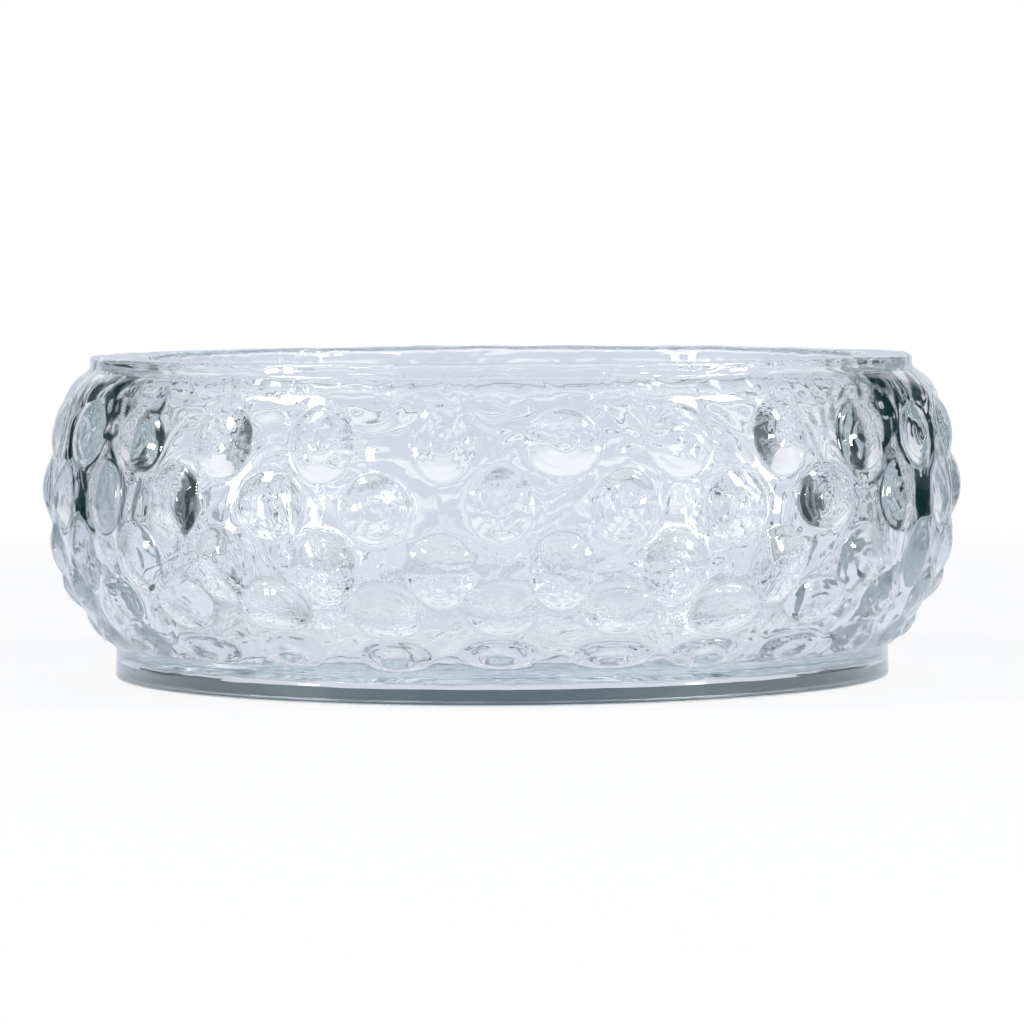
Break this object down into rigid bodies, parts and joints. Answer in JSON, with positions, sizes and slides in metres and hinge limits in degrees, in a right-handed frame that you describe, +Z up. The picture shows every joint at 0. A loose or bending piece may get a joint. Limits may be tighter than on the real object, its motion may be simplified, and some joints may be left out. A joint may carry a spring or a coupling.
{
  "type": "floating candle bowl",
  "caption": "Low round bowl of thick clear glass with staggered rows of hobnails, a plain rim collar and a round foot, for water and floating candles.",
  "frame": {"origin": "centre of the round foot, on the table", "axes": "+Z up along the bowl's axis, -Y towards the viewer, +X to the viewer's right"},
  "size_m": [0.1996, 0.1992, 0.07],
  "materials": {
    "clear_glass": "clear pressed glass with a slight blue-green tint, fire-polished"
  },
  "bodies": {
    "root": {"foot_ring": "clear_glass", "foot_disc": "clear_glass", "hobnail_bowl": "clear_glass", "rim_collar": "clear_glass"}
  },
  "joints": []
}
